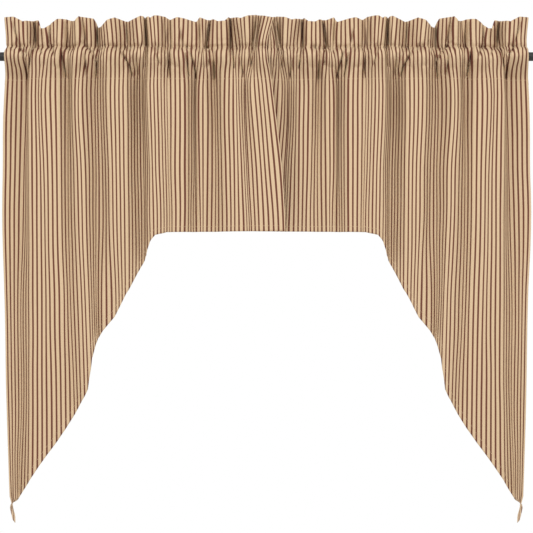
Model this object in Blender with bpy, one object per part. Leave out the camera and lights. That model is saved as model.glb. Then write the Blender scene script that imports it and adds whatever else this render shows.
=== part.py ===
"""Swag and tail drape: two striped cloth panels gathered on one plain rod.

The frame is in metres, +Z up. Its origin is the middle of the rod's axis, the rod lies
along X, and the drape is looked at along +Y, so a crest of a fold has the smaller Y.
Each panel is one sheet: its face, the front of the rod pocket, the heading ruffle, which
turns over at the top, and the back of the pocket down to a short seam allowance.
"""
from collections import namedtuple

import bmesh
import bpy
import numpy as np

MM = 0.001

# The cloth and the rod
STRIPE = 9.05 * MM
CLOTH = 1.5 * MM
ROD_RADIUS = 8.0 * MM
ROD_HALF = 505.0 * MM
ROD_SIDES = 32

# The two lines of stitching that close the pocket, as heights above the rod's axis
STITCH_Z = 17.0 * MM
SEAM_Z = -41.0 * MM
ALLOWANCE = 8.0 * MM

# Half the distance between the two layers where they are sewn, and the cloth's way round
# the rod: how far its valleys stay from the rod, and how far up the pocket it bulges most
HALF_LAYERS = 1.2 * MM
ROD_CLEARANCE = 4.3 * MM
POCKET_PEAK = 0.69

# Heights, in millimetres above the rod's axis, of the columns of the fold tables: the
# ruffle's top, its stitching, the seam, the swag's middle, its hem, then down the tail
LEVELS = (70.0, 17.0, -55.0, -206.0, -303.0, -441.0, -622.0, -767.0, -843.0)
RUFFLE_LEVELS = 2

# One row for each fold line, from a panel's outer edge to its inner edge, named as the face
# shows it. stripe is the place along the cloth in stripe repeats; ruffle and face say how
# far back the line stands there, from -1 to 1, and cloth between two lines is inclined by
# their difference, fully from 1 on. brim is the ruffle's height there. The rest are the
# distances in millimetres from the middle of the drape outward, at the first five levels.
Fold = namedtuple("Fold", "name stripe ruffle face brim top stitch seam middle hem")
FOLDS = (
    Fold("outer_edge", -0.6, -0.1, 0.3, 71, 474, 470, 477, 479, 479),
    Fold("valley_1", 4.2, -0.7, 1.0, 62, 437, 435, 436, 439, 441),
    Fold("crest_1", 7.6, 1.0, -1.0, 67, 424, 423, 427, 426, 425),
    Fold("crest_1_end", 9.1, 0.2, -1.0, 60, 413, 412, 417, 414, 414),
    Fold("valley_2", 10.7, -0.6, -0.8, 51, 404, 399, 409, 404, 402),
    Fold("crest_2", 12.3, -0.4, -1.0, 60, 391, 388, 397, 393, 392),
    Fold("crest_2_end", 14.6, -0.8, -1.0, 68, 373, 374, 376, 374, 373),
    Fold("valley_3", 17.0, 0.6, 0.1, 65, 353, 355, 359, 360, 359),
    Fold("crest_3", 19.8, -0.8, -1.0, 70, 340, 339, 346, 342, 340),
    Fold("crest_3_end", 21.8, 0.4, -1.0, 71, 328, 326, 335, 329, 327),
    Fold("valley_4", 25.2, 1.0, 0.8, 54, 306, 305, 311, 309, 309),
    Fold("valley_4_end", 27.2, 0.0, 0.2, 55, 298, 294, 299, 295, 294),
    Fold("crest_4", 29.5, -0.6, -1.0, 65, 285, 281, 285, 281, 280),
    Fold("crest_4_end", 33.6, 0.3, -1.0, 65, 256, 254, 254, 253, 252),
    Fold("valley_5", 37.4, -1.0, 1.0, 69, 231, 228, 234, 232, 230),
    Fold("flank_5", 38.9, -0.6, 0.3, 71, 224, 222, 225, 222, 221),
    Fold("slit_5", 41.0, 1.0, -0.5, 71, 220, 216, 217, 214, 214),
    Fold("crest_5", 42.6, -1.0, -1.0, 71, 213, 209, 212, 208, 206),
    Fold("crest_5_end", 45.3, -0.8, -1.0, 73, 195, 194, 195, 191, 189),
    Fold("valley_6", 48.0, 0.6, -0.6, 70, 179, 178, 180, 177, 175),
    Fold("crest_6", 49.6, -0.4, -1.0, 68, 169, 169, 167, 168, 167),
    Fold("crest_6_end", 52.3, -0.4, -1.0, 68, 148, 149, 146, 145, 146),
    Fold("valley_7", 55.4, 0.3, 0.0, 67, 127, 125, 129, 130, 131),
    Fold("crest_7", 56.8, 0.5, -1.0, 72, 119, 117, 123, 122, 120),
    Fold("crest_7_end", 58.6, 1.0, -1.0, 68, 107, 111, 110, 111, 112),
    Fold("valley_8", 61.0, -0.2, 1.0, 67, 95, 96, 94, 92, 93),
    Fold("crest_8", 63.8, -0.8, -1.0, 63, 75, 74, 77, 75, 73),
    Fold("crest_8_end", 66.3, 1.0, -1.0, 71, 63, 59, 58, 56, 55),
    Fold("flank_9", 68.2, -0.4, -0.8, 69, 52, 46, 50, 44, 39),
    Fold("valley_9", 70.8, -1.0, -0.5, 71, 33, 32, 38, 34, 28),
    Fold("crest_9", 73.4, 0.5, -1.0, 75, 17, 22, 26, 15, 10),
    Fold("valley_10", 76.0, -0.8, -0.7, 71, 3, 13, 7, -5, -13),
)

# The inner edges. The left panel's runs past the middle and lies in front; the right one's
# is tucked behind it. Distances are outward from the middle, so those past it are negative.
INNER_EDGE = {
    "left": Fold("inner_edge", 78.4, -1.0, -1.0, 70, -13, 1, -11, -28, -34),
    "right": Fold("inner_edge", 78.4, -1.0, -1.0, 70, 6, 2, 2, -20, -28),
}

# The fold lines that reach down into the tail, at the four lowest levels
Tail = namedtuple("Tail", "name upper middle lower tip")
TAIL = (
    Tail("outer_edge", 473, 470, 465, 461),
    Tail("valley_1", 445, 444, 449, 452),
    Tail("crest_1", 425, 425, 427, 428),
    Tail("crest_1_end", 413, 413, 414, 417),
    Tail("valley_2", 400, 400, 400, 401),
    Tail("crest_2", 389, 386, 386, 386),
    Tail("crest_2_end", 369, 367, 365, 365),
    Tail("valley_3", 355, 348, 346, 345),
    Tail("crest_3", 334, 329, 325, 323),
    Tail("crest_3_end", 322, 316, 311, 309),
    Tail("valley_4", 309, 301, 293, 291),
    Tail("valley_4_end", 297, 291, 283, 281),
    Tail("crest_4", 275, 274, 274, 274),
)

# The line along which the lower edge is cut: the tail's slanted side, then the swag's hem
CutPoint = namedtuple("CutPoint", "stripe height")
LOWER_EDGE = (
    CutPoint(-0.6, -843.0),
    CutPoint(0.4, -838.0),
    CutPoint(1.8, -812.0),
    CutPoint(4.0, -803.0),
    CutPoint(7.1, -771.0),
    CutPoint(9.5, -739.0),
    CutPoint(13.2, -695.0),
    CutPoint(16.7, -652.0),
    CutPoint(19.6, -619.0),
    CutPoint(20.9, -602.0),
    CutPoint(22.2, -547.0),
    CutPoint(24.1, -522.0),
    CutPoint(26.9, -500.0),
    CutPoint(30.9, -456.0),
    CutPoint(36.6, -391.0),
    CutPoint(40.1, -359.0),
    CutPoint(41.8, -335.0),
    CutPoint(43.4, -323.0),
    CutPoint(47.0, -318.0),
    CutPoint(78.4, -316.0),
)

# How deep the folds are at a height, as a share of what the stripes that show allow
Fullness = namedtuple("Fullness", "height share")
FULLNESS = (
    Fullness(76.0, 1.3),
    Fullness(-80.0, 1.3),
    Fullness(-160.0, 1.05),
    Fullness(-303.0, 0.9),
    Fullness(-441.0, 0.75),
    Fullness(-843.0, 0.6),
)

# How far, in millimetres, a fold can stand out where the stitching and the rod press it
Pressing = namedtuple("Pressing", "height limit")
PRESSING = (
    Pressing(76.0, 34.0),
    Pressing(45.0, 24.0),
    Pressing(17.0, 11.0),
    Pressing(0.0, 11.0),
    Pressing(-10.0, 12.0),
    Pressing(-25.0, 22.0),
    Pressing(-41.0, 34.0),
    Pressing(-80.0, 50.0),
    Pressing(-140.0, 70.0),
    Pressing(-843.0, 70.0),
)

# How far the two inner edges stand apart in depth where they lap, half to each panel
Lap = namedtuple("Lap", "height depth")
LAP_DEPTH = (
    Lap(76.0, 9.0),
    Lap(17.0, 2.0),
    Lap(0.0, 3.2),
    Lap(-41.0, 11.0),
    Lap(-110.0, 14.0),
    Lap(-843.0, 14.0),
)
LAP_FROM_STRIPE = 59.5
LAP_FULL_STRIPE = 68.5

# How far the left pocket's back layer is drawn back from its open end, past which the
# front layer laps over the right panel
BACK_RETREAT = 7.0 * MM
RETREAT_FROM_STRIPE = 71.0

# Rows of the sheet's mesh, from the lower edge up, over the top and down the back
FACE_ROWS = 13
POCKET_ROWS = 5
HEADING_ROWS = 3
TURN_ROWS = 2
STRIPES_PER_COLUMN = 1.8

# The stripes on which the folds are worked out, and how far along the cloth a bend reaches
FIRST_STRIPE = -2.0
STRIPE_STEP = 0.125
STRIPE_STEPS = 656
BEND_STEPS = 5
STEEPEST = 1.25
DEPTH_HOLD = 0.06
NORMAL_STEP = 0.125


def blend_matrix(levels, heights):
    """Return the weights that draw a smooth curve through values given at the levels."""
    count = len(levels)
    place = np.clip(heights, levels.min(), levels.max())
    span = np.clip(np.searchsorted(-levels, -place, side="right") - 1, 0, count - 2)
    gap = levels[span + 1] - levels[span]
    t = (place - levels[span]) / gap
    weights = np.zeros((len(place), count))
    rows = np.arange(len(place))
    value_a = 2 * t**3 - 3 * t**2 + 1
    slope_a = (t**3 - 2 * t**2 + t) * gap
    slope_b = (t**3 - t**2) * gap
    np.add.at(weights, (rows, span), value_a)
    np.add.at(weights, (rows, span + 1), 1 - value_a)
    for offset, amount in ((0, slope_a), (1, slope_b)):
        before = np.maximum(span + offset - 1, 0)
        after = np.minimum(span + offset + 1, count - 1)
        run = levels[after] - levels[before]
        np.add.at(weights, (rows, after), amount / run)
        np.add.at(weights, (rows, before), -amount / run)
    return weights


def fold_lines(side):
    """Return the stripes of a panel's fold lines, how they stand and where, at each level."""
    rows = [*FOLDS, INNER_EDGE[side]]
    lows = [(row.upper, row.middle, row.lower, row.tip) for row in TAIL]
    lows += [(row.hem,) * 4 for row in rows[len(TAIL):]]
    tops = [(row.top, row.stitch, row.seam, row.middle, row.hem) for row in rows]
    outs = np.array([top + low for top, low in zip(tops, lows)]).T * MM
    face_levels = len(LEVELS) - RUFFLE_LEVELS
    stands = [(row.ruffle,) * RUFFLE_LEVELS + (row.face,) * face_levels for row in rows]
    return np.array([row.stripe for row in rows]), np.array(stands).T, outs


def at_height(rows, heights):
    """Return the second value of a height table, read at the given heights."""
    table = sorted((row[0] * MM, row[1]) for row in rows)
    return np.interp(heights, [row[0] for row in table], [row[1] for row in table])


def fold_curve(side, height):
    """Return the stripes, and how far out and how deep the cloth lies on each, at a height.

    Between two fold lines the cloth is inclined so that its length spans their distance;
    bends are spread along it, and the lines are held where the table has them.
    """
    stripes, stands, outs = fold_lines(side)
    length = np.diff(stripes) * STRIPE
    share = np.clip(-np.diff(outs) / length, np.cos(STEEPEST), 1.0)
    slope = np.arccos(share) * np.clip(np.diff(stands), -1.0, 1.0)
    weights = blend_matrix(np.array(LEVELS) * MM, np.array([height]))[0]
    places = FIRST_STRIPE + STRIPE_STEP * (0.5 + np.arange(STRIPE_STEPS))
    flank = np.clip(np.searchsorted(stripes, places) - 1, 0, len(length) - 1)
    spread = np.hanning(2 * BEND_STEPS + 3)[1:-1]
    steep = np.pad((weights @ slope)[flank], BEND_STEPS, mode="edge")
    steep = np.convolve(steep, spread / spread.sum(), mode="valid")
    out = -np.cumsum(np.cos(steep)) * STRIPE_STEP * STRIPE
    out += np.interp(places, stripes, weights @ outs - np.interp(stripes, places, out))
    deep = np.cumsum(np.sin(steep)) * STRIPE_STEP * STRIPE * at_height(FULLNESS, height)
    at_lines = np.interp(stripes, places, deep)
    steps = np.eye(len(stripes))[1:] - np.eye(len(stripes))[:-1]
    hold = steps.T @ steps + DEPTH_HOLD * np.eye(len(stripes))
    held = np.linalg.solve(hold, steps.T @ np.diff(at_lines))
    deep += np.interp(places, stripes, held - at_lines)
    limit = at_height(PRESSING, height) * MM
    return places, out, limit * np.tanh(deep / limit)


def fold_surface(side, stripe, height):
    """Return how far out and how deep the cloth lies at each stripe and height.

    The third pair of values is the direction square to the cloth, toward its back.
    """
    found = []
    for one_stripe, one_height in zip(stripe, height):
        places, out, deep = fold_curve(side, one_height)
        near = one_stripe + NORMAL_STEP * np.array((-1.0, 0.0, 1.0))
        outs = np.interp(near, places, out)
        deeps = np.interp(near, places, deep)
        across = outs[0] - outs[2]
        away = deeps[2] - deeps[0]
        size = np.hypot(across, away)
        found.append((outs[1], deeps[1], away / size, across / size))
    return np.array(found).T


def lap_shift(side, stripe, height):
    """Return how far the inner edge stands forward on the left, or back on the right."""
    t = (stripe - LAP_FROM_STRIPE) / (LAP_FULL_STRIPE - LAP_FROM_STRIPE)
    t = np.clip(t, 0.0, 1.0)
    amount = at_height(LAP_DEPTH, height) * MM * t * t * (3 - 2 * t)
    return -amount if side == "left" else amount


def pocket_share(height):
    """Return how far up the pocket a height is, 0 at its seam and 1 at its stitching."""
    return np.clip((height - SEAM_Z) / (STITCH_Z - SEAM_Z), 0.0, 1.0)


def back_retreat(stripe, height):
    """Return how far the left panel's back layer ends short of its front one."""
    reach = INNER_EDGE["left"].stripe - RETREAT_FROM_STRIPE
    near = np.clip((stripe - RETREAT_FROM_STRIPE) / reach, 0.0, 1.2)
    return BACK_RETREAT * near * np.sin(np.pi * pocket_share(height))


def pocket_bulge(height):
    """Return how far a layer stands from the rod's axis, none at the two stitch lines."""
    power = np.log(0.5) / np.log(POCKET_PEAK)
    reach = ROD_RADIUS + ROD_CLEARANCE + at_height(PRESSING, 0.0) * MM
    return reach * np.sin(np.pi * pocket_share(height) ** power)


def sheet_points(side, stripe, height, layer):
    """Return the X, Y and Z of points of a panel; layer is -1 in front and +1 behind."""
    out, deep, square_out, square_deep = fold_surface(side, stripe, height)
    out = out + layer * HALF_LAYERS * square_out
    deep = deep + layer * HALF_LAYERS * square_deep
    deep = deep + layer * pocket_bulge(height) + lap_shift(side, stripe, height)
    if side == "left":
        out = out + np.maximum(layer, 0.0) * back_retreat(stripe, height)
    x = -out if side == "left" else out
    return x, deep, height


def sheet_columns():
    """Return the stripes at which a panel's mesh has a column, closer on short folds."""
    lines = [row.stripe for row in FOLDS] + [INNER_EDGE["left"].stripe]
    columns = []
    for start, end in zip(lines, lines[1:]):
        count = max(1, round((end - start) / STRIPES_PER_COLUMN))
        columns.extend(np.linspace(start, end, count, endpoint=False))
    columns.append(lines[-1])
    return np.array(columns)


def sheet_rows(stripe, side):
    """Yield the height and layer of each row of the mesh, from the lower edge over the top."""
    cut_at = [row.stripe for row in LOWER_EDGE]
    cut = np.interp(stripe, cut_at, [row.height * MM for row in LOWER_EDGE])
    rows = [*FOLDS, INNER_EDGE[side]]
    top = np.interp(stripe, [row.stripe for row in rows], [row.brim * MM for row in rows])
    front = np.full(len(stripe), -1.0)
    for t in np.linspace(0.0, 1.0, FACE_ROWS, endpoint=False):
        yield cut + (SEAM_Z - cut) * t, front
    for t in np.linspace(0.0, 1.0, POCKET_ROWS, endpoint=False):
        yield np.full(len(stripe), SEAM_Z + (STITCH_Z - SEAM_Z) * t), front
    for t in np.linspace(0.0, 1.0, HEADING_ROWS, endpoint=False):
        yield STITCH_Z + (top - HALF_LAYERS - STITCH_Z) * t, front
    for t in np.linspace(0.0, np.pi, TURN_ROWS + 1):
        yield top - HALF_LAYERS + HALF_LAYERS * np.sin(t), -np.cos(t) * np.ones(len(stripe))
    for t in np.linspace(1.0, 0.0, HEADING_ROWS + 1)[1:]:
        yield STITCH_Z + (top - HALF_LAYERS - STITCH_Z) * t, -front
    for t in np.linspace(1.0, 0.0, POCKET_ROWS + 1)[1:]:
        yield np.full(len(stripe), SEAM_Z + (STITCH_Z - SEAM_Z) * t), -front
    yield np.full(len(stripe), SEAM_Z - ALLOWANCE), -front


def material(name, color, roughness, metallic):
    """Return a plain Principled material."""
    made = bpy.data.materials.new(name)
    made.use_nodes = True
    shader = made.node_tree.nodes["Principled BSDF"]
    shader.inputs["Base Color"].default_value = (*color, 1.0)
    shader.inputs["Roughness"].default_value = roughness
    shader.inputs["Metallic"].default_value = metallic
    return made


def add_panel(name, side):
    """Add one panel as a sheet of cloth hung in its folds."""
    stripe = sheet_columns()
    rows = []
    for height, layer in sheet_rows(stripe, side):
        rows.append(sheet_points(side, stripe, height, layer))
    mesh = bpy.data.meshes.new(name)
    bm = bmesh.new()
    grid = [[bm.verts.new(point) for point in zip(*row)] for row in rows]
    for lower, upper in zip(grid, grid[1:]):
        for i in range(len(stripe) - 1):
            corners = (lower[i], lower[i + 1], upper[i + 1], upper[i])
            bm.faces.new(corners if side == "left" else corners[::-1])
    bm.to_mesh(mesh)
    bm.free()
    mesh.shade_smooth()
    panel = bpy.data.objects.new(name, mesh)
    bpy.context.collection.objects.link(panel)
    solidify = panel.modifiers.new("cloth thickness", "SOLIDIFY")
    solidify.thickness = CLOTH
    solidify.offset = 0.0
    mesh.materials.append(material(name + " cloth", (0.50, 0.36, 0.22), 0.9, 0.0))
    return panel


def add_rod():
    """Add the rod: one plain round bar with flat ends, along X."""
    bpy.ops.mesh.primitive_cylinder_add(
        vertices=ROD_SIDES, radius=ROD_RADIUS, depth=2 * ROD_HALF, rotation=(0, np.pi / 2, 0))
    rod = bpy.context.active_object
    rod.name = "rod"
    rod.data.materials.append(material("rod paint", (0.02, 0.02, 0.022), 0.45, 0.3))
    return rod


for old in list(bpy.data.objects):
    bpy.data.objects.remove(old, do_unlink=True)

add_rod()
add_panel("panel_left", "left")
add_panel("panel_right", "right")
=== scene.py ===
from collections import namedtuple

import bpy
import numpy as np
from mathutils import Matrix


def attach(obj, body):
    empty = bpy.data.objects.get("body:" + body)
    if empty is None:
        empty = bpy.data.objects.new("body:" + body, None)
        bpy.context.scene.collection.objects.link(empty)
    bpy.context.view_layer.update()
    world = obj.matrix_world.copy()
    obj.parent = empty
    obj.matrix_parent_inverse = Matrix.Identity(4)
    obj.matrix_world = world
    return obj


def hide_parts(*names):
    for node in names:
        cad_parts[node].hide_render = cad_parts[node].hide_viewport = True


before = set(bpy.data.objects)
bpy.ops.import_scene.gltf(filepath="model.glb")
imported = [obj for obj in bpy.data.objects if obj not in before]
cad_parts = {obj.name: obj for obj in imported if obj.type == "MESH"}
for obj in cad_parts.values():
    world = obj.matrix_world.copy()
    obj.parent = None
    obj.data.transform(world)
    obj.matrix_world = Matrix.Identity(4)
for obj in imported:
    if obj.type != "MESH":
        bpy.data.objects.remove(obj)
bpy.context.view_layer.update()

MM = 0.001

# The rod
# A round steel bar with plain cut ends, powder coated near black, that both panels' pockets
# are threaded on. It is the frame's own solid and rests in a bracket at each end.
ROD_RADIUS = 8.0 * MM
ROD_PAINT = (0.012, 0.013, 0.014, 1.0)
ROD_SPECULAR = 0.4
ROD_ROUGHNESS = 0.36
ROD_UNEVEN_ROUGHNESS = 0.2
ROD_GRAIN_SCALE = 900.0
ROD_GRAIN_DEPTH = 0.05 * MM
ROD_GRAIN_STRENGTH = 0.5


class Reading:
    """A value that changes over a surface; arithmetic on it adds the Math nodes."""

    def __init__(self, finish, socket):
        self.finish = finish
        self.socket = socket

    def math(self, operation, first, second=0.0):
        return self.finish.add("ShaderNodeMath", {"operation": operation}, {0: first, 1: second})

    def __add__(self, other):
        return self.math("ADD", self, other)

    def __sub__(self, other):
        return self.math("SUBTRACT", self, other)

    def __mul__(self, other):
        return self.math("MULTIPLY", self, other)

    def __abs__(self):
        return self.math("ABSOLUTE", self)

    __radd__ = __add__
    __rmul__ = __mul__

    def part(self):
        return self.math("FRACT", self)

    def sine(self):
        return self.math("SINE", self)


class Finish:
    """One material, whose nodes are added one at a time."""

    def __init__(self, name, roughness, specular):
        self.material = bpy.data.materials.new(name)
        self.material.use_nodes = True
        self.tree = self.material.node_tree
        self.shader = self.tree.nodes["Principled BSDF"]
        self.shader.inputs["Roughness"].default_value = roughness
        self.shader.inputs["Specular IOR Level"].default_value = specular

    def add(self, kind, settings, inputs, output=0):
        """Add a node with its settings, then the values or links of its inputs."""
        node = self.tree.nodes.new(kind)
        for name, value in settings.items():
            setattr(node, name, value)
        for name, value in inputs.items():
            self.join(value, node.inputs[name])
        return Reading(self, node.outputs[output])

    def join(self, value, socket):
        """Link a reading to a socket, or set the socket to a plain value."""
        if isinstance(value, Reading):
            self.tree.links.new(value.socket, socket)
        else:
            socket.default_value = value

    def blend(self, share, none, full):
        """Return a colour between two, by a share."""
        return self.add("ShaderNodeMix", {"data_type": "RGBA"}, {0: share, 6: none, 7: full}, 2)

    def grade(self, value, low, high, start, end):
        """Return a value that goes smoothly from start to end as another passes low to high."""
        settings = {"interpolation_type": "SMOOTHSTEP"}
        inputs = {0: value, 1: low, 2: high, 3: start, 4: end}
        return self.add("ShaderNodeMapRange", settings, inputs)

    def noise(self, place, scale, detail):
        """Return a soft noise at a place, about 0.5."""
        inputs = {"Vector": place, "Scale": scale, "Detail": detail}
        return self.add("ShaderNodeTexNoise", {}, inputs)

    def relief(self, height, distance, strength):
        """Raise the surface by a height map."""
        inputs = {"Height": height, "Distance": distance, "Strength": strength}
        self.join(self.add("ShaderNodeBump", {}, inputs), self.shader.inputs["Normal"])


def rod_finish():
    """Return the rod's powder coat: near black, half matt, with a fine even grain."""
    finish = Finish("rod powder coat", ROD_ROUGHNESS, ROD_SPECULAR)
    place = finish.add("ShaderNodeTexCoord", {}, {}, 3)
    grain = finish.noise(place, ROD_GRAIN_SCALE, 2.0)
    finish.join(ROD_PAINT, finish.shader.inputs["Base Color"])
    roughness = ROD_ROUGHNESS + ROD_UNEVEN_ROUGHNESS * grain
    finish.join(roughness, finish.shader.inputs["Roughness"])
    finish.relief(grain, ROD_GRAIN_DEPTH, ROD_GRAIN_STRENGTH)
    return finish.material


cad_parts["rod"].material_slots[0].material = rod_finish()

# The two cloth panels
# Each is one length of yarn-dyed ticking in light cotton, striped down its length. Its top
# is turned over to the back and sewn along two lines, which leaves a ruffle above the pocket
# for the rod. The face hangs below, short in the middle and long at the outer side, and its
# lower edge has a narrow hem. Gathered on the rod, the cloth falls in uneven folds.
STRIPE = 9.05 * MM
CLOTH = 0.9 * MM
STITCH_Z = 17.0 * MM
SEAM_Z = -41.0 * MM
ALLOWANCE = 8.0 * MM
HALF_LAYERS = 1.2 * MM
ROD_CLEARANCE = 4.3 * MM
POCKET_PEAK = 0.69

# The levels of the columns of the fold tables, in millimetres above the rod's axis
LEVELS = (70.0, 17.0, -55.0, -206.0, -303.0, -441.0, -622.0, -767.0, -843.0)

# One row for each fold line, from the outer edge to the inner one. stripe counts stripes along
# the cloth; ruffle and face say how far back the line stands there, from -1 to 1, where a
# step of less than 1 bends the cloth less than its length allows. The rest are millimetres
# outward from the drape's middle: at the ruffle's top and its stitching, at the pocket's
# seam, half way down the swag and at its hem.
Fold = namedtuple("Fold", "name stripe ruffle face top stitch seam middle hem")
FOLDS = (
    Fold("outer_edge", -0.6, -0.1, 0.3, 474, 470, 477, 479, 479),
    Fold("valley_1", 4.2, -0.7, 1.0, 437, 435, 436, 439, 441),
    Fold("crest_1", 7.6, 1.0, -1.0, 424, 423, 427, 426, 425),
    Fold("crest_1_end", 9.1, 0.2, -1.0, 413, 412, 417, 414, 414),
    Fold("valley_2", 10.7, -0.6, -0.8, 404, 399, 409, 404, 402),
    Fold("crest_2", 12.3, -0.4, -1.0, 391, 388, 397, 393, 392),
    Fold("crest_2_end", 14.6, -0.8, -1.0, 373, 374, 376, 374, 373),
    Fold("valley_3", 17.0, 0.6, 0.1, 353, 355, 359, 360, 359),
    Fold("crest_3", 19.8, -0.8, -1.0, 340, 339, 346, 342, 340),
    Fold("crest_3_end", 21.8, 0.4, -1.0, 328, 326, 335, 329, 327),
    Fold("valley_4", 25.2, 1.0, 0.8, 306, 305, 311, 309, 309),
    Fold("valley_4_end", 27.2, 0.0, 0.2, 298, 294, 299, 295, 294),
    Fold("crest_4", 29.5, -0.6, -1.0, 285, 281, 285, 281, 280),
    Fold("crest_4_end", 33.6, 0.3, -1.0, 256, 254, 254, 253, 252),
    Fold("valley_5", 37.4, -1.0, 1.0, 231, 228, 234, 232, 230),
    Fold("flank_5", 38.9, -0.6, 0.3, 224, 222, 225, 222, 221),
    Fold("slit_5", 41.0, 1.0, -0.5, 220, 216, 217, 214, 214),
    Fold("crest_5", 42.6, -1.0, -1.0, 213, 209, 212, 208, 206),
    Fold("crest_5_end", 45.3, -0.8, -1.0, 195, 194, 195, 191, 189),
    Fold("valley_6", 48.0, 0.6, -0.6, 179, 178, 180, 177, 175),
    Fold("crest_6", 49.6, -0.4, -1.0, 169, 169, 167, 168, 167),
    Fold("crest_6_end", 52.3, -0.4, -1.0, 148, 149, 146, 145, 146),
    Fold("valley_7", 55.4, 0.3, 0.0, 127, 125, 129, 130, 131),
    Fold("crest_7", 56.8, 0.5, -1.0, 119, 117, 123, 122, 120),
    Fold("crest_7_end", 58.6, 1.0, -1.0, 107, 111, 110, 111, 112),
    Fold("valley_8", 61.0, -0.2, 1.0, 95, 96, 94, 92, 93),
    Fold("crest_8", 63.8, -0.8, -1.0, 75, 74, 77, 75, 73),
    Fold("crest_8_end", 66.3, 1.0, -1.0, 63, 59, 58, 56, 55),
    Fold("flank_9", 68.2, -0.4, -0.8, 52, 46, 50, 44, 39),
    Fold("valley_9", 70.8, -1.0, -0.5, 33, 32, 38, 34, 28),
    Fold("crest_9", 73.4, 0.5, -1.0, 17, 22, 26, 15, 10),
    Fold("valley_10", 76.0, -0.8, -0.7, 3, 13, 7, -5, -13),
)

# The inner edges: the left panel's runs past the middle, in front of the right one's
INNER_EDGE = {
    "left": Fold("inner_edge", 78.4, -1.0, -1.0, -13, -1, -11, -28, -34),
    "right": Fold("inner_edge", 78.4, -1.0, -1.0, 6, 1, 2, -20, -28),
}

# The fold lines that reach down into the tail, at the four lowest levels
Tail = namedtuple("Tail", "name upper middle lower tip")
TAIL = (
    Tail("outer_edge", 473, 470, 465, 461),
    Tail("valley_1", 445, 444, 449, 452),
    Tail("crest_1", 425, 425, 427, 428),
    Tail("crest_1_end", 413, 413, 414, 417),
    Tail("valley_2", 400, 400, 400, 401),
    Tail("crest_2", 389, 386, 386, 386),
    Tail("crest_2_end", 369, 367, 365, 365),
    Tail("valley_3", 355, 348, 346, 345),
    Tail("crest_3", 334, 329, 325, 323),
    Tail("crest_3_end", 322, 316, 311, 309),
    Tail("valley_4", 309, 301, 293, 291),
    Tail("valley_4_end", 297, 291, 283, 281),
    Tail("crest_4", 275, 274, 274, 274),
)

# The ruffle's upper edge, as heights at distances outward from the middle
Brim = namedtuple("Brim", "out height")
BRIM = (
    Brim(473, 71), Brim(457, 71), Brim(439, 61), Brim(425, 67), Brim(415, 67.5),
    Brim(411, 52), Brim(404, 51), Brim(392, 59), Brim(379, 67.5), Brim(363, 67.5),
    Brim(345, 63), Brim(339, 71), Brim(314, 70), Brim(306, 54), Brim(299, 54),
    Brim(287, 64), Brim(274, 69.5), Brim(250, 63), Brim(234, 67.5), Brim(227, 71),
    Brim(213, 71), Brim(210, 68.5), Brim(202, 73), Brim(184, 73), Brim(173, 66.5),
    Brim(162, 71), Brim(129, 64), Brim(122, 73), Brim(108, 68.5), Brim(98, 68.5),
    Brim(88, 63), Brim(75, 63), Brim(69, 72), Brim(53, 69.5), Brim(46, 67.5),
    Brim(19, 75.5), Brim(1, 70), Brim(-13, 67.5),
)

# The cut of the lower edge: the tail's slanted side, then the swag's hem
CutPoint = namedtuple("CutPoint", "stripe height")
LOWER_EDGE = (
    CutPoint(-0.6, -843.0),
    CutPoint(0.4, -838.0),
    CutPoint(1.8, -812.0),
    CutPoint(4.0, -803.0),
    CutPoint(7.1, -771.0),
    CutPoint(9.5, -739.0),
    CutPoint(13.2, -695.0),
    CutPoint(16.7, -652.0),
    CutPoint(19.6, -619.0),
    CutPoint(20.9, -602.0),
    CutPoint(22.2, -547.0),
    CutPoint(24.1, -522.0),
    CutPoint(26.9, -500.0),
    CutPoint(30.9, -456.0),
    CutPoint(36.6, -391.0),
    CutPoint(40.1, -359.0),
    CutPoint(41.8, -335.0),
    CutPoint(43.4, -323.0),
    CutPoint(47.0, -318.0),
    CutPoint(78.4, -316.0),
)

# How far a fold may stand to the front or back where stitching and rod press it
Pressing = namedtuple("Pressing", "height limit")
PRESSING = (
    Pressing(76.0, 34.0),
    Pressing(45.0, 26.0),
    Pressing(17.0, 11.0),
    Pressing(0.0, 11.0),
    Pressing(-10.0, 12.0),
    Pressing(-25.0, 23.0),
    Pressing(-41.0, 35.0),
    Pressing(-80.0, 54.0),
    Pressing(-140.0, 80.0),
    Pressing(-843.0, 80.0),
)

# How deep the folds are, as a share of what the stripes that show allow
Fullness = namedtuple("Fullness", "height share")
FULLNESS = (
    Fullness(76.0, 1.4),
    Fullness(-80.0, 1.35),
    Fullness(-160.0, 1.1),
    Fullness(-303.0, 0.95),
    Fullness(-441.0, 0.75),
    Fullness(-843.0, 0.6),
)

# How far apart in depth the two inner edges stand where they lap, half to each panel
Lap = namedtuple("Lap", "height depth")
LAP_DEPTH = (
    Lap(76.0, 9.0),
    Lap(17.0, 2.0),
    Lap(0.0, 3.2),
    Lap(-41.0, 11.0),
    Lap(-110.0, 14.0),
    Lap(-843.0, 14.0),
)
LAP_FROM_STRIPE = 59.5
LAP_FULL_STRIPE = 68.5
BACK_RETREAT = 7.0 * MM
RETREAT_FROM_STRIPE = 71.0
RETREAT_MOST = 1.2

# The pocket's depth beyond which its back layer no longer follows the front one's creases
OWN_FOLDS_FROM = 10.0 * MM

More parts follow.
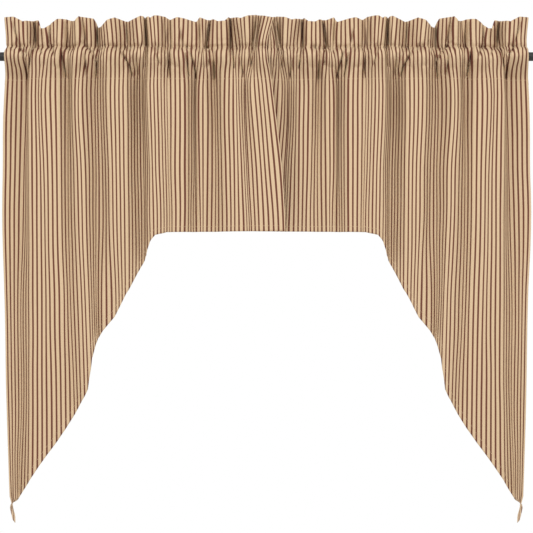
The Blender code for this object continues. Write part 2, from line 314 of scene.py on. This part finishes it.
# Sharp creases and puckers, from one place to another in the front plane: distances outward
# and heights, then the trough's depth and half its width, all in millimetres
Crease = namedtuple("Crease", "out_a height_a out_b height_b depth width")
CREASES = (
    # down the ruffle
    Crease(457, 60, 446, 17, 4, 3),
    Crease(424, 62, 420, 20, 9, 6.5),
    Crease(392, 58, 395, 17, 4, 3),
    Crease(363, 60, 361, 17, 6, 4),
    Crease(336, 69, 328, 20, 8, 5),
    Crease(310, 62, 308, 19, 8, 4),
    Crease(254, 58, 252, 22, 3, 4),
    Crease(221, 73, 221, 20, 9, 3),
    Crease(187, 66, 182, 22, 3, 4),
    Crease(157, 48, 151, 19, 3, 3),
    Crease(124, 69, 122, 22, 5, 4),
    Crease(101, 66, 109, 18, 11, 4),
    Crease(67, 71, 67, 16, 11, 4),
    Crease(20, 58, 26, 26, 6, 3),
    Crease(13, 66, 17, 22, 5, 3),
    # from the ruffle's stitching down the pocket
    Crease(446, 17, 436, 0, 5, 2.5),
    Crease(436, 0, 435, -36, 7, 3),
    Crease(437, 14, 431, -2, 4, 2),
    Crease(427, -3, 431, -34, 4, 2.5),
    Crease(421, 19, 428, -7, 4, 2.5),
    Crease(408, 11, 403, 2, 2, 3),
    Crease(395, 19, 396, 11, 3, 2),
    Crease(388, 20, 380, -3, 4, 2.5),
    Crease(367, 15, 369, -7, 3, 3),
    Crease(370, 5, 365, -36, 8, 3.5),
    Crease(358, 19, 357, 11, 3, 2),
    Crease(348, 19, 348, 11, 3, 2),
    Crease(336, 26, 314, 4, 5, 2.5),
    Crease(314, 4, 307, -12, 6, 2.5),
    Crease(307, -12, 311, -35, 6, 3),
    Crease(328, 0, 327, -34, 5, 2.5),
    Crease(304, 12, 304, -20, 4.5, 1.8),
    Crease(292, 28, 291, 19, 3, 2),
    Crease(296, 13, 293, -3, 2.5, 2.5),
    Crease(276, 22, 271, 8, 3, 2.5),
    Crease(263, 8, 248, -16, 6, 3),
    Crease(248, -16, 245, -35, 8, 3.5),
    Crease(256, 22, 258, 8, 3, 2.5),
    Crease(244, 19, 246, 11, 3, 2),
    Crease(241, -3, 238, -32, 4, 3),
    Crease(234, -1, 233, -30, 5, 4),
    Crease(196, 19, 198, 8, 3, 2),
    Crease(200, 6, 193, -18, 3, 2.5),
    Crease(177, 11, 175, -36, 6, 3.5),
    Crease(145, 19, 142, 10, 3, 2),
    Crease(147, 2, 142, -36, 8, 2.5),
    Crease(139, 6, 127, -36, 7, 2.5),
    Crease(122, 17, 120, 4, 2.5, 2),
    Crease(110, 26, 102, 13, 6, 3),
    Crease(105, 11, 104, -14, 9, 2.2),
    Crease(96, 11, 93, -38, 10, 5),
    Crease(87, 19, 86, 11, 3, 2),
    Crease(63, 9, 59, -20, 8, 2.2),
    Crease(45, -7, 43, -36, 5, 3),
    Crease(32, 4, 28, -18, 4, 3),
)
# How far a crease draws the cloth in from its sides, how much deeper it goes than its row
# says, how deep it still is at its ends, and the rim that it raises along its sides
CREASE_PULL = 0.5
CREASE_DEPTH = 2.2
CREASE_ENDS = 0.45
CREASE_RIM = 0.35

# The small gathers along the two lines of stitching: how many stripes and how much height one
# takes, the height where they are strongest, how far they reach from it and how far they stand
Gather = namedtuple("Gather", "seed stripes rise height reach size")
GATHERS = (
    Gather(3, 0.7, 13.0 * MM, 14.0 * MM, 5.0 * MM, 5.5 * MM),
    Gather(4, 1.3, 24.0 * MM, 11.0 * MM, 13.0 * MM, 5.0 * MM),
    Gather(5, 1.2, 30.0 * MM, SEAM_Z, 8.0 * MM, 0.8 * MM),
    Gather(6, 2.1, 24.0 * MM, -16.0 * MM, 22.0 * MM, 3.2 * MM),
)
# How far a gather also goes sideways, then how sharp its valley is, how far the round cloth
# beside it comes forward and how steeply
GATHER_ASIDE = 0.3
GATHER_SOFTNESS = 0.06
GATHER_FORWARD = 1.6
GATHER_STEEPNESS = 2.4

# How far the ruffle's two layers puff apart, close above the stitching
PUFF = 3.0 * MM
PUFF_FROM = 7.0 * MM
PUFF_TO = 45.0 * MM
PUFF_LOST = 0.7

# The cloth's own unevenness, everywhere
UNEVEN_STRIPES = 2.6
UNEVEN_RISE = 75.0 * MM
UNEVEN_DEPTH = 1.1 * MM
UNEVEN_SIDEWAYS = 0.7 * MM

# The random draws: their seeds, the values of one draw, and the stretch that each level reads
DEPTH_SEED = 11
SIDEWAYS_SEED = 23
RIGHT_PANEL_SEEDS = 50
ASIDE_SEEDS = 90
KNOTS = 400
FIRST_KNOT = 20.0
KNOTS_A_LEVEL = 37.0
LEVELS_FROM = 2.0

# The hem of the lower edge: its width, how much its turned-in cloth thickens it and over how
# narrow a step, the rows of the mesh up to its end, and how far in from its step it is sewn
HEM_WIDTH = 11.0 * MM
HEM_RAISE = 0.5 * MM
HEM_STEP = 1.5 * MM
HEM_ROWS = (0.0, 4.0, 8.0, 9.4, 10.2, 11.2, 13.0)
HEM_SEWN_IN = 1.5 * MM

# The tail's last corner is turned about its own length, so that its wrong side shows
TWIST_FROM_Z = -801.0 * MM
TWIST_REACH = 17.0 * MM
TWIST_TURN = -1.6
TWIST_OUT = 459.5 * MM
TWIST_DEEP = -5.0 * MM

# Rows of the mesh, from the lower edge up, over the top and down the back
FACE_ROWS = 24
POCKET_ROWS = 30
HEADING_ROWS = 20
TURN_ROWS = 4
BACK_ROWS = 6
COLUMNS_PER_STRIPE = 6

# The grid on which the folds are worked out, and how far along the cloth a bend is spread
GRID_LOW = -850.0 * MM
GRID_ROWS = 311
GRID_ROW = 3.0 * MM
GRID_FIRST = -2.0
GRID_COLUMNS = 656
GRID_COLUMN = 0.125
BEND_COLUMNS = 3
DEPTH_HOLD = 0.06
STEEPEST = 1.3
NORMAL_STEP = 0.0625


def blend_matrix(levels, heights):
    """Return the weights that draw a smooth curve through values given at the levels."""
    count = len(levels)
    place = np.clip(heights, levels.min(), levels.max())
    span = np.clip(np.searchsorted(-levels, -place, side="right") - 1, 0, count - 2)
    gap = levels[span + 1] - levels[span]
    t = (place - levels[span]) / gap
    weights = np.zeros((len(place), count))
    rows = np.arange(len(place))
    value_a = 2 * t**3 - 3 * t**2 + 1
    np.add.at(weights, (rows, span), value_a)
    np.add.at(weights, (rows, span + 1), 1 - value_a)
    slope_a = (t**3 - 2 * t**2 + t) * gap
    slope_b = (t**3 - t**2) * gap
    for offset, amount in ((0, slope_a), (1, slope_b)):
        before = np.maximum(span + offset - 1, 0)
        after = np.minimum(span + offset + 1, count - 1)
        run = levels[after] - levels[before]
        np.add.at(weights, (rows, after), amount / run)
        np.add.at(weights, (rows, before), -amount / run)
    return weights


def fold_lines(side):
    """Return the stripes of a panel's fold lines, and where they stand at each level."""
    rows = [*FOLDS, INNER_EDGE[side]]
    stripes = np.array([row.stripe for row in rows])
    lows = [(row.upper, row.middle, row.lower, row.tip) for row in TAIL]
    lows += [(row.hem,) * 4 for row in rows[len(TAIL):]]
    tops = [(row.top, row.stitch, row.seam, row.middle, row.hem) for row in rows]
    outs = np.array([top + low for top, low in zip(tops, lows)]).T * MM
    stands = np.array([(row.ruffle,) * 2 + (row.face,) * (len(LEVELS) - 2) for row in rows]).T
    return stripes, stands, outs


def at_height(rows, heights):
    """Return the second value of a height table, read at the given heights."""
    table = sorted((row[0] * MM, row[1] * MM) for row in rows)
    return np.interp(heights, [row[0] for row in table], [row[1] for row in table])


def fold_grid(side):
    """Return how far out and how deep the cloth lies, over a grid of heights and stripes.

    Between two fold lines the cloth is inclined so that its length spans their distance;
    bends are spread along it, and the lines are held where the table has them.
    """
    stripes, stands, outs = fold_lines(side)
    length = np.diff(stripes) * STRIPE
    share = np.clip(-np.diff(outs) / length, np.cos(STEEPEST), 1.0)
    slope = np.arccos(share) * np.clip(np.diff(stands), -1.0, 1.0)
    heights = GRID_LOW + GRID_ROW * np.arange(GRID_ROWS)
    columns = GRID_FIRST + GRID_COLUMN * np.arange(GRID_COLUMNS)
    weights = blend_matrix(np.array(LEVELS) * MM, heights)
    middles = columns + 0.5 * GRID_COLUMN
    flank = np.clip(np.searchsorted(stripes, middles) - 1, 0, len(length) - 1)
    steep = (weights @ slope)[:, flank]
    spread = np.hanning(2 * BEND_COLUMNS + 3)[1:-1]
    spread /= spread.sum()
    padded = np.pad(steep, ((0, 0), (BEND_COLUMNS, BEND_COLUMNS)), mode="edge")
    steep = sum(part * padded[:, i:i + GRID_COLUMNS] for i, part in enumerate(spread))
    out = -np.cumsum(np.cos(steep), axis=1) * GRID_COLUMN * STRIPE
    deep = np.cumsum(np.sin(steep), axis=1) * GRID_COLUMN * STRIPE
    deep *= at_height(FULLNESS, heights)[:, None] / MM
    places = weights @ outs
    count = len(stripes)
    steps = np.eye(count)[1:] - np.eye(count)[:-1]
    hold = steps.T @ steps + DEPTH_HOLD * np.eye(count)
    for row in range(GRID_ROWS):
        at_lines = np.interp(stripes, middles, out[row])
        out[row] += np.interp(middles, stripes, places[row] - at_lines)
        at_lines = np.interp(stripes, middles, deep[row])
        held = np.linalg.solve(hold, steps.T @ np.diff(at_lines))
        deep[row] += np.interp(middles, stripes, held - at_lines)
    limit = at_height(PRESSING, heights)[:, None]
    return np.stack((out, limit * np.tanh(deep / limit)))


FOLD_GRIDS = {side: fold_grid(side) for side in INNER_EDGE}


def fold_surface(side, stripe, height):
    """Return how far out and how deep the cloth lies at each stripe and height."""
    grid = FOLD_GRIDS[side]
    row = np.clip((height - GRID_LOW) / GRID_ROW, 0, GRID_ROWS - 1.001)
    column = np.clip((stripe - GRID_FIRST) / GRID_COLUMN - 0.5, 0, GRID_COLUMNS - 1.001)
    low = row.astype(int)
    left = column.astype(int)
    up = row - low
    along = column - left
    near = grid[:, low, left] * (1 - along) + grid[:, low, left + 1] * along
    far = grid[:, low + 1, left] * (1 - along) + grid[:, low + 1, left + 1] * along
    return near * (1 - up) + far * up


def smooth(share):
    """Return a share from 0 to 1 with soft ends."""
    t = np.clip(share, 0.0, 1.0)
    return t * t * (3 - 2 * t)


def lap_shift(side, stripe, height):
    """Return how far the inner edge stands forward on the left, or back on the right."""
    reach = LAP_FULL_STRIPE - LAP_FROM_STRIPE
    amount = at_height(LAP_DEPTH, height) * smooth((stripe - LAP_FROM_STRIPE) / reach)
    return -amount if side == "left" else amount


def pocket_share(height):
    """Return how far up the pocket a height is, 0 at its seam and 1 at its stitching."""
    return np.clip((height - SEAM_Z) / (STITCH_Z - SEAM_Z), 0.0, 1.0)


def back_retreat(stripe, height):
    """Return how far the left panel's back layer ends short of its front one."""
    reach = INNER_EDGE["left"].stripe - RETREAT_FROM_STRIPE
    near = np.clip((stripe - RETREAT_FROM_STRIPE) / reach, 0.0, RETREAT_MOST)
    return BACK_RETREAT * near * np.sin(np.pi * pocket_share(height))


def pocket_bulge(height):
    """Return how far a layer stands from the rod's axis, none at the two stitch lines."""
    power = np.log(0.5) / np.log(POCKET_PEAK)
    reach = ROD_RADIUS + ROD_CLEARANCE + at_height(PRESSING, 0.0)
    return reach * np.sin(np.pi * pocket_share(height) ** power)


def puff(height):
    """Return how far a layer of the ruffle stands off more than the cloth's own thickness."""
    above = height - STITCH_Z
    return PUFF * smooth(above / PUFF_FROM) * (1 - PUFF_LOST * smooth(above / PUFF_TO))


def knots(seed, place):
    """Return smooth uneven values from -1 to 1 along a line, one knot for each unit."""
    values = np.random.default_rng(seed).uniform(-1.0, 1.0, KNOTS)
    base = np.floor(place).astype(int)
    t = smooth(place - base)
    return values[base % KNOTS] * (1 - t) + values[(base + 1) % KNOTS] * t


def unevenness(seed, stripe, height, stripes=UNEVEN_STRIPES, rise=UNEVEN_RISE):
    """Return smooth uneven values from -1 to 1 over the cloth."""
    level = (height + LEVELS_FROM) / rise
    base = np.floor(level)
    t = smooth(level - base)
    place = stripe / stripes + FIRST_KNOT
    # Each level reads another stretch of the same knots
    low = knots(seed, place + KNOTS_A_LEVEL * base)
    high = knots(seed, place + KNOTS_A_LEVEL * (base + 1))
    return low * (1 - t) + high * t


def crease_pull(out, height):
    """Return how far the creases draw the cloth sideways and push it back."""
    sideways = np.zeros_like(out)
    back = np.zeros_like(out)
    for row in CREASES:
        start = np.array((row.out_a, row.height_a)) * MM
        way = np.array((row.out_b, row.height_b)) * MM - start
        t = ((out - start[0]) * way[0] + (height - start[1]) * way[1]) / (way @ way)
        t = np.clip(t, 0.0, 1.0)
        across = out - start[0] - t * way[0]
        upward = height - start[1] - t * way[1]
        near = (across**2 + upward**2) / (row.width * MM) ** 2
        amount = np.exp(-near) * (CREASE_ENDS + (1 - CREASE_ENDS) * np.sin(np.pi * t))
        back += CREASE_DEPTH * row.depth * MM * amount * (1 - CREASE_RIM * near)
        sideways -= CREASE_PULL * across * amount
    return sideways, back


def gather(side, stripe, height):
    """Return how far the gathers and the cloth's unevenness move it sideways and back."""
    panel = 0 if side == "left" else RIGHT_PANEL_SEEDS
    back = UNEVEN_DEPTH * unevenness(DEPTH_SEED + panel, stripe, height)
    sideways = UNEVEN_SIDEWAYS * unevenness(SIDEWAYS_SEED + panel, stripe, height)
    for row in GATHERS:
        size = row.size * np.exp(-np.abs(height - row.height) / row.reach)
        seed = row.seed + panel
        form = unevenness(seed, stripe, height, row.stripes, row.rise)
        # Sharp lines in the valleys, round cloth between them
        off = np.tanh(GATHER_STEEPNESS * np.hypot(form, GATHER_SOFTNESS))
        back += size * (1 - GATHER_FORWARD * off)
        aside = unevenness(seed + ASIDE_SEEDS, stripe, height, row.stripes, row.rise)
        sideways += GATHER_ASIDE * size * aside
    return sideways, back


def above_edge(stripe, height):
    """Return the distance of a height above the lower edge, square to that edge."""
    cut_at = [row.stripe * STRIPE for row in LOWER_EDGE]
    cut_heights = [row.height * MM for row in LOWER_EDGE]
    cut = np.interp(stripe * STRIPE, cut_at, cut_heights)
    before = np.interp(stripe * STRIPE - HEM_WIDTH, cut_at, cut_heights)
    after = np.interp(stripe * STRIPE + HEM_WIDTH, cut_at, cut_heights)
    steep = (after - before) / (2 * HEM_WIDTH)
    return (height - cut) / np.hypot(1.0, steep)


def sheet_points(side, stripe, height, layer):
    """Return the X, Y and Z of points of a panel; layer is -1 in front and +1 behind."""
    out, deep = fold_surface(side, stripe, height)
    out_a, deep_a = fold_surface(side, stripe - NORMAL_STEP, height)
    out_b, deep_b = fold_surface(side, stripe + NORMAL_STEP, height)
    across = out_a - out_b
    away = deep_b - deep_a
    size = np.hypot(across, away)
    bulge = pocket_bulge(height)
    # Behind the rod the back layer has its own folds; where it is sewn it shares the front's
    share = np.where(layer > 0, 1 - smooth(bulge / OWN_FOLDS_FROM), 1.0)
    sideways, back = crease_pull(out, height)
    aside, behind = gather(side, stripe, height)
    out = out + (sideways + aside) * share + layer * HALF_LAYERS * away / size
    deep = deep + (back + behind) * share + layer * HALF_LAYERS * across / size
    deep = deep + layer * (bulge + puff(height)) + lap_shift(side, stripe, height)
    deep = deep - HEM_RAISE * smooth((HEM_WIDTH - above_edge(stripe, height)) / HEM_STEP)
    # The cloth lies on the rod and not in it
    room = np.sqrt(np.maximum((ROD_RADIUS + CLOTH) ** 2 - height**2, 0.0))
    deep = np.where(room > 0, layer * np.maximum(layer * deep, room), deep)
    if side == "left":
        out = out + np.maximum(layer, 0.0) * back_retreat(stripe, height)
    turn = TWIST_TURN * smooth((TWIST_FROM_Z - height) / TWIST_REACH)
    away = out - TWIST_OUT
    behind = deep - TWIST_DEEP
    out = TWIST_OUT + away * np.cos(turn) - behind * np.sin(turn)
    deep = TWIST_DEEP + away * np.sin(turn) + behind * np.cos(turn)
    x = -out if side == "left" else out
    return np.stack((x, deep, height), axis=-1)


def brim_height(side, stripe):
    """Return the height of the ruffle's upper edge at each stripe."""
    level = np.full(len(stripe), LEVELS[0] * MM)
    out = fold_surface(side, stripe, level)[0]
    rows = sorted((row.out * MM, row.height * MM) for row in BRIM)
    return np.interp(out, [row[0] for row in rows], [row[1] for row in rows])


def sheet_rows(side, stripe):
    """Yield the height and layer of each row of the mesh, from the lower edge over the top."""
    cut_at = [row.stripe for row in LOWER_EDGE]
    cut = np.interp(stripe, cut_at, [row.height * MM for row in LOWER_EDGE])
    square = above_edge(stripe, cut + HEM_WIDTH) / HEM_WIDTH
    top = brim_height(side, stripe) - HALF_LAYERS
    front = np.full(len(stripe), -1.0)
    hem = cut
    for distance in HEM_ROWS:
        hem = cut + distance * MM / square
        yield hem, front
    for t in np.linspace(0.0, 1.0, FACE_ROWS)[1:]:
        yield hem + (SEAM_Z - hem) * t, front
    for t in np.linspace(0.0, 1.0, POCKET_ROWS)[1:]:
        yield np.full(len(stripe), SEAM_Z + (STITCH_Z - SEAM_Z) * t), front
    for t in np.linspace(0.0, 1.0, HEADING_ROWS)[1:]:
        yield STITCH_Z + (top - STITCH_Z) * t, front
    for t in np.linspace(0.0, np.pi, TURN_ROWS + 1)[1:]:
        yield top + HALF_LAYERS * np.sin(t), -np.cos(t) * np.ones(len(stripe))
    for t in np.linspace(1.0, 0.0, BACK_ROWS)[1:]:
        yield STITCH_Z + (top - STITCH_Z) * t, -front
    for t in np.linspace(1.0, 0.0, BACK_ROWS)[1:]:
        yield np.full(len(stripe), SEAM_Z + (STITCH_Z - SEAM_Z) * t), -front
    for t in (0.5, 1.0):
        yield np.full(len(stripe), SEAM_Z - ALLOWANCE * t), -front


def add_panel(name, side):
    """Add one panel as a sheet of cloth, with a map of stripes across and along it."""
    first = FOLDS[0].stripe
    last = INNER_EDGE[side].stripe
    stripe = np.linspace(first, last, round((last - first) * COLUMNS_PER_STRIPE) + 1)
    rows = [sheet_points(side, stripe, *row) for row in sheet_rows(side, stripe)]
    points = np.array(rows)
    steps = np.linalg.norm(points[1:] - points[:-1], axis=2) / STRIPE
    along = np.concatenate((np.zeros((1, len(stripe))), np.cumsum(steps, axis=0)))
    # Lengths are counted from the pocket's front stitching, so the weave runs level there
    level = len(rows) - 2 * BACK_ROWS - TURN_ROWS - HEADING_ROWS
    along = along - along[level]
    count = len(stripe)
    start = (np.arange(len(rows) - 1)[:, None] * count + np.arange(count - 1)[None, :]).ravel()
    corners = [start, start + 1, start + 1 + count, start + count]
    if side == "right":
        corners = corners[::-1]
    mesh = bpy.data.meshes.new(name)
    mesh.from_pydata(points.reshape(-1, 3).tolist(), [], np.stack(corners, axis=-1).tolist())
    places = np.stack((np.broadcast_to(stripe, along.shape), along), axis=-1).reshape(-1, 2)
    corner_of = np.empty(len(mesh.loops), dtype=np.int32)
    mesh.loops.foreach_get("vertex_index", corner_of)
    mesh.uv_layers.new(name="Cloth").data.foreach_set("uv", places[corner_of].ravel())
    mesh.shade_smooth()
    panel = bpy.data.objects.new(name, mesh)
    bpy.context.collection.objects.link(panel)
    solidify = panel.modifiers.new("cloth thickness", "SOLIDIFY")
    solidify.thickness = CLOTH
    solidify.offset = 0.0
    solidify.material_offset = 1
    return panel


# The yarns: cream ground, red-brown stripe, and how far the stripe reaches from its middle
GROUND = (0.585, 0.44, 0.285, 1.0)
BAND = (0.13, 0.049, 0.033, 1.0)
WRONG_GROUND = (0.60, 0.46, 0.31, 1.0)
WRONG_BAND = (0.22, 0.12, 0.09, 1.0)
BAND_HALF = 0.19
BAND_EDGE = 0.025
EDGE_WANDER = 0.06
YARNS = 18.0
YARN_LENGTH = 0.5
FUZZ_SCALE = 60.0
YARN_SHADE = 0.12
WEAVE_DEPTH = 0.12 * MM
WEAVE_STRENGTH = 0.6
CLOTH_ROUGHNESS = 0.95
CLOTH_SPECULAR = 0.08


def cloth_finish(name, ground, band):
    """Return striped cotton: yarns that cross, uneven in thickness and in shade."""
    finish = Finish(name, CLOTH_ROUGHNESS, CLOTH_SPECULAR)
    place = finish.add("ShaderNodeUVMap", {"uv_map": "Cloth"}, {})
    across = finish.add("ShaderNodeSeparateXYZ", {}, {"Vector": place}, 0)
    along = finish.add("ShaderNodeSeparateXYZ", {}, {"Vector": place}, 1)
    warp_scale = {"Vector": place, "Scale": (YARNS, YARN_LENGTH, 1)}
    weft_scale = {"Vector": place, "Scale": (YARN_LENGTH, YARNS, 1)}
    warp_place = finish.add("ShaderNodeMapping", {}, warp_scale)
    weft_place = finish.add("ShaderNodeMapping", {}, weft_scale)
    warp = finish.noise(warp_place, 1.0, 2.0)
    weft = finish.noise(weft_place, 1.0, 2.0)
    fuzz = finish.noise(place, FUZZ_SCALE, 2.0)
    from_middle = abs((across + 0.5).part() - 0.5) + EDGE_WANDER * (weft - 0.5)
    stripe = finish.grade(from_middle, BAND_HALF - BAND_EDGE, BAND_HALF + BAND_EDGE, 1.0, 0.0)
    colour = finish.blend(stripe, ground, band)
    shade = finish.grade(0.5 * warp + 0.3 * weft + 0.2 * fuzz, 0.3, 0.7, YARN_SHADE, 0.0)
    finish.join(finish.blend(shade, colour, BAND), finish.shader.inputs["Base Color"])
    turn = 2 * np.pi * YARNS
    weave = (turn * across).sine() * (turn * along).sine()
    finish.relief(0.5 * weave + 0.6 * warp + 0.6 * weft, WEAVE_DEPTH, WEAVE_STRENGTH)
    return finish.material


# The sewing thread, cream and two-ply. A machine has sewn it through the cloth along the
# ruffle, the pocket's seam and the hem; each stitch shows as a small grain on the face.
STITCH_PITCH = 3.4 * MM
STITCH_LENGTH = 2.6 * MM
THREAD_RADIUS = 0.28 * MM
THREAD = (0.66, 0.52, 0.33, 1.0)
THREAD_LIFT = 0.4 * THREAD_RADIUS
PLY_SCALE = 2500.0
PLY_DEPTH = 0.05 * MM
SEWN_FROM = 0.3
HEM_SEWN_FROM = 4.0
RISE_STEP = 0.5 * MM


def thread_finish():
    """Return the thread's own finish, two plies twisted."""
    finish = Finish("sewing thread", 0.7, 0.3)
    place = finish.add("ShaderNodeTexCoord", {}, {}, 3)
    ply = finish.noise(place, PLY_SCALE, 1.0)
    colour = finish.blend(ply, THREAD, GROUND)
    finish.join(colour, finish.shader.inputs["Base Color"])
    finish.relief(ply, PLY_DEPTH, 0.5)
    return finish.material


def one_stitch():
    """Return the points and faces of one stitch, of unit length along X."""
    bpy.ops.object.select_all(action="DESELECT")
    bpy.ops.mesh.primitive_uv_sphere_add(segments=6, ring_count=4, radius=0.5)
    stitch = bpy.context.active_object
    points = np.array([vertex.co[:] for vertex in stitch.data.vertices])
    faces = [list(face.vertices) for face in stitch.data.polygons]
    bpy.data.objects.remove(stitch, do_unlink=True)
    return points[:, [2, 0, 1]], faces


STITCH_POINTS, STITCH_FACES = one_stitch()


def sewing_lines(side):
    """Yield the stripes and heights of each line of stitching."""
    first = FOLDS[0].stripe + SEWN_FROM
    last = INNER_EDGE[side].stripe - SEWN_FROM
    whole = np.arange(first, last, STITCH_PITCH / STRIPE)
    yield whole, np.full(len(whole), STITCH_Z)
    yield whole, np.full(len(whole), SEAM_Z)
    # Up the tail's slanted side the stitches follow the hem, so fewer stripes hold each
    stripes = [HEM_SEWN_FROM]
    while stripes[-1] < last - 1:
        steep = 1 / (above_edge(np.array(stripes[-1:]), np.zeros(1))
                     - above_edge(np.array(stripes[-1:]), np.full(1, -1.0)))[0]
        stripes.append(stripes[-1] + STITCH_PITCH / STRIPE / steep)
    hem = np.array(stripes)
    edge = -above_edge(hem, np.zeros(len(hem)))
    unit = above_edge(hem, np.full(len(hem), 1.0)) + edge
    yield hem, (edge + HEM_WIDTH - HEM_SEWN_IN) / unit


def add_stitches(name, side):
    """Add the stitches of a panel, lying on its face."""
    points = []
    faces = []
    for stripe, height in sewing_lines(side):
        front = np.full(len(stripe), -1.0)
        here = sheet_points(side, stripe, height, front)
        run = np.gradient(here, axis=0)
        run /= np.linalg.norm(run, axis=1)[:, None]
        rise = sheet_points(side, stripe, height + RISE_STEP, front) - here
        away = np.cross(run, rise) * (1 if side == "left" else -1)
        away /= np.linalg.norm(away, axis=1)[:, None]
        cross = np.cross(away, run)
        here = here + away * (0.5 * CLOTH + THREAD_LIFT)
        for centre, x, y, z in zip(here, run, away, cross):
            placed = centre + STITCH_POINTS[:, :1] * STITCH_LENGTH * x
            placed = placed + 2 * THREAD_RADIUS * STITCH_POINTS[:, 1:2] * y
            placed = placed + 2 * THREAD_RADIUS * STITCH_POINTS[:, 2:] * z
            faces.extend([[len(points) + i for i in face] for face in STITCH_FACES])
            points.extend(placed.tolist())
    mesh = bpy.data.meshes.new(name)
    mesh.from_pydata(points, [], faces)
    mesh.shade_smooth()
    stitches = bpy.data.objects.new(name, mesh)
    bpy.context.collection.objects.link(stitches)
    return stitches


# Laid flat, a panel is as long as the tail's drop with its turned-back heading and pocket
cloth = cloth_finish("ticking, right side", GROUND, BAND)
wrong_side = cloth_finish("ticking, wrong side", WRONG_GROUND, WRONG_BAND)
thread = thread_finish()
for side in ("left", "right"):
    panel = add_panel("cloth_" + side, side)
    panel.data.materials.append(cloth)
    panel.data.materials.append(wrong_side)
    stitches = add_stitches("stitching_" + side, side)
    stitches.data.materials.append(thread)
    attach(panel, "root")
    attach(stitches, "root")
    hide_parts("panel_" + side)

# The floor, the light and the camera
# A pale studio floor well below the hanging drape, one wide soft lamp above and in front of
# it and a bright surround, seen level from in front at the height of the drape's middle.
FLOOR_Z = -1.25
FLOOR_HALF = 2.3
MIDDLE_Z = -0.38
CAMERA_DISTANCE = 3.0
VIEW_WIDTH = 0.965
SURROUND_LIGHT = 1.1
SURROUND_TINT = (1.0, 0.965, 0.93, 1.0)
LAMP_TINT = (0.94, 0.98, 1.0)
LAMP_POWER = 33.0
LAMP_SIZE = 1.2
LAMP_AHEAD = 2.4
LAMP_ABOVE = 1.6


def floor_finish():
    """Return a plain pale floor with a faint unevenness."""
    finish = Finish("pale floor", 0.8, 0.2)
    place = finish.add("ShaderNodeTexCoord", {}, {}, 3)
    cloud = finish.noise(place, 3.0, 2.0)
    colour = finish.blend(cloud, (0.80, 0.80, 0.79, 1.0), (0.84, 0.84, 0.83, 1.0))
    finish.join(colour, finish.shader.inputs["Base Color"])
    return finish.material


bpy.ops.object.select_all(action="DESELECT")
bpy.ops.mesh.primitive_plane_add(size=2 * FLOOR_HALF)
floor = bpy.context.active_object
floor.name = "floor"
floor.data.transform(Matrix.Translation((0.0, 0.0, FLOOR_Z)))
floor.data.materials.append(floor_finish())

world = bpy.data.worlds.new("white surround")
world.use_nodes = True
bpy.context.scene.world = world
nodes = world.node_tree.nodes
links = world.node_tree.links
surround = nodes["Background"]
surround.inputs["Color"].default_value = SURROUND_TINT
surround.inputs["Strength"].default_value = SURROUND_LIGHT
backdrop = nodes.new("ShaderNodeBackground")
backdrop.inputs["Color"].default_value = (1.0, 1.0, 1.0, 1.0)
path = nodes.new("ShaderNodeLightPath")
either = nodes.new("ShaderNodeMixShader")
links.new(path.outputs["Is Camera Ray"], either.inputs[0])
links.new(surround.outputs[0], either.inputs[1])
links.new(backdrop.outputs[0], either.inputs[2])
links.new(either.outputs[0], nodes["World Output"].inputs["Surface"])

lamp = bpy.data.lights.new("soft lamp", "AREA")
lamp.shape = "DISK"
lamp.size = LAMP_SIZE
lamp.energy = LAMP_POWER
lamp.color = LAMP_TINT
soft_lamp = bpy.data.objects.new("soft lamp", lamp)
soft_lamp.location = (0.0, -LAMP_AHEAD, MIDDLE_Z + LAMP_ABOVE)
soft_lamp.rotation_euler = (np.pi / 2 - np.arctan2(LAMP_ABOVE, LAMP_AHEAD), 0.0, 0.0)
bpy.context.collection.objects.link(soft_lamp)

view = bpy.data.cameras.new("camera")
view.sensor_width = 36.0
view.lens = view.sensor_width * CAMERA_DISTANCE / VIEW_WIDTH
camera = bpy.data.objects.new("camera", view)
camera.location = (0.0, -CAMERA_DISTANCE, MIDDLE_Z)
camera.rotation_euler = (np.pi / 2, 0.0, 0.0)
bpy.context.collection.objects.link(camera)
bpy.context.scene.camera = camera
bpy.context.scene.view_settings.view_transform = "Standard"
